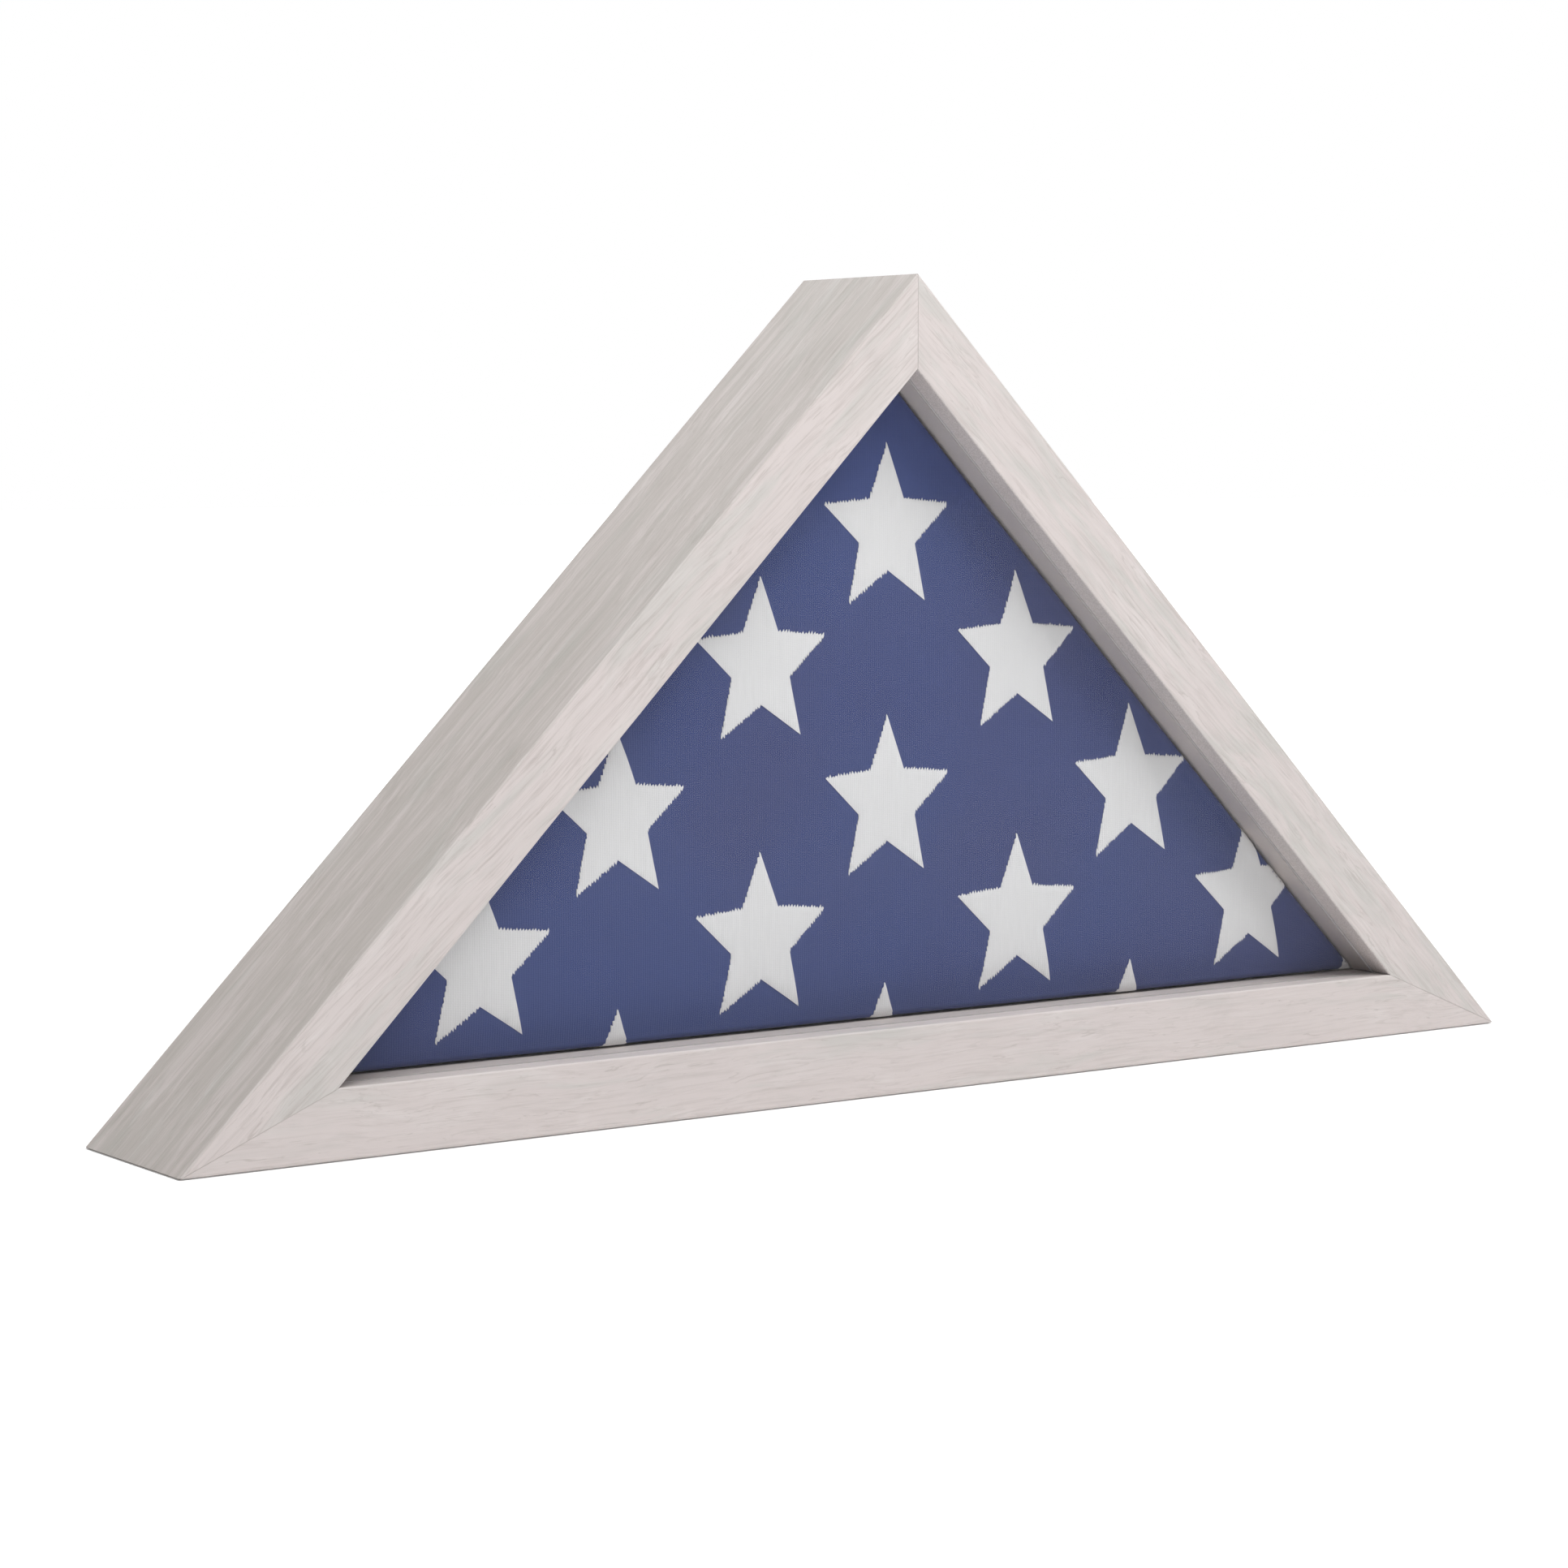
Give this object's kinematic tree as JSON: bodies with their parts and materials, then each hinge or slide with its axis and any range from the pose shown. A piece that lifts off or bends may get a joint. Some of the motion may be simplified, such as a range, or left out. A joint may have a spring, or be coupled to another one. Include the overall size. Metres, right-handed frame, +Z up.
{
  "type": "folded flag display case",
  "caption": "Right-angled triangular wooden display case holding a folded flag behind a clear front, with a lift-off back held by turn buttons and D-ring wall hangers.",
  "frame": {"origin": "middle of the bottom face that the case stands on, halfway between its front face and the rear face of its mouldings", "axes": "+X to the right seen from the front, +Y from the front to the back, +Z up"},
  "size_m": [0.6594, 0.0853, 0.3298],
  "materials": {
    "whitewashed_wood": "matte whitewashed grain",
    "liner_wood": "smooth matte whitewashed",
    "clear_acrylic": "clear polished",
    "flag_cloth": "woven cloth with embroidered stars",
    "hardboard": "smooth matte hardboard",
    "zinc_steel": "zinc plated",
    "brassed_steel": "brass plated, satin",
    "bumper_rubber": "matte moulded rubber"
  },
  "bodies": {
    "case": {"left_rail": "whitewashed_wood", "right_rail": "whitewashed_wood", "bottom_rail": "whitewashed_wood", "glazing_panel": "clear_acrylic", "left_liner": "liner_wood", "right_liner": "liner_wood", "bottom_liner": "liner_wood", "folded_flag": "flag_cloth", "turn_screw_bottom_left": "zinc_steel", "turn_screw_bottom_right": "zinc_steel", "turn_screw_right_lower": "zinc_steel", "turn_screw_right_upper": "zinc_steel", "turn_screw_left_lower": "zinc_steel", "turn_screw_left_upper": "zinc_steel", "hanger_strap_left": "brassed_steel", "hanger_screw_left": "brassed_steel", "hanger_strap_right": "brassed_steel", "hanger_screw_right": "brassed_steel", "wall_bumper_left": "bumper_rubber", "wall_bumper_right": "bumper_rubber", "v_nail_bottom_left_outer": "zinc_steel", "v_nail_bottom_left_inner": "zinc_steel", "v_nail_bottom_right_outer": "zinc_steel", "v_nail_bottom_right_inner": "zinc_steel", "v_nail_apex_outer": "zinc_steel", "v_nail_apex_inner": "zinc_steel"},
    "panel": {"back_panel": "hardboard"},
    "button_bottom_left": {"turn_button_bottom_left": "zinc_steel"},
    "button_bottom_right": {"turn_button_bottom_right": "zinc_steel"},
    "button_right_lower": {"turn_button_right_lower": "zinc_steel"},
    "button_right_upper": {"turn_button_right_upper": "zinc_steel"},
    "button_left_lower": {"turn_button_left_lower": "zinc_steel"},
    "button_left_upper": {"turn_button_left_upper": "zinc_steel"},
    "ring_left": {"hanger_ring_left": "brassed_steel"},
    "ring_right": {"hanger_ring_right": "brassed_steel"}
  },
  "joints": [
    {"name": "back_panel_lift", "type": "slide", "parent": "case", "child": "panel", "axis": [0, 1, 0], "range_m": [0, 0.06]},
    {"name": "button_bottom_left_swing", "type": "hinge", "parent": "case", "child": "button_bottom_left", "pos_m": [-0.132, 0.0398, 0.0105], "axis": [0, -1, 0], "range_deg": [0, 90]},
    {"name": "button_bottom_right_swing", "type": "hinge", "parent": "case", "child": "button_bottom_right", "pos_m": [0.132, 0.0398, 0.0105], "axis": [0, 1, 0], "range_deg": [0, 90]},
    {"name": "button_right_lower_swing", "type": "hinge", "parent": "case", "child": "button_right_lower", "pos_m": [0.21698, 0.0398, 0.09817], "axis": [0, -1, 0], "range_deg": [0, 90]},
    {"name": "button_right_upper_swing", "type": "hinge", "parent": "case", "child": "button_right_upper", "pos_m": [0.11797, 0.0398, 0.19717], "axis": [0, -1, 0], "range_deg": [0, 90]},
    {"name": "button_left_lower_swing", "type": "hinge", "parent": "case", "child": "button_left_lower", "pos_m": [-0.21698, 0.0398, 0.09817], "axis": [0, 1, 0], "range_deg": [0, 90]},
    {"name": "button_left_upper_swing", "type": "hinge", "parent": "case", "child": "button_left_upper", "pos_m": [-0.11797, 0.0398, 0.19717], "axis": [0, 1, 0], "range_deg": [0, 90]},
    {"name": "ring_left_swing", "type": "hinge", "parent": "case", "child": "ring_left", "pos_m": [-0.07389, 0.0425, 0.24126], "axis": [0.7071, 0, -0.7071], "range_deg": [0, 170]},
    {"name": "ring_right_swing", "type": "hinge", "parent": "case", "child": "ring_right", "pos_m": [0.07389, 0.0425, 0.24126], "axis": [0.7071, 0, 0.7071], "range_deg": [0, 170]}
  ]
}
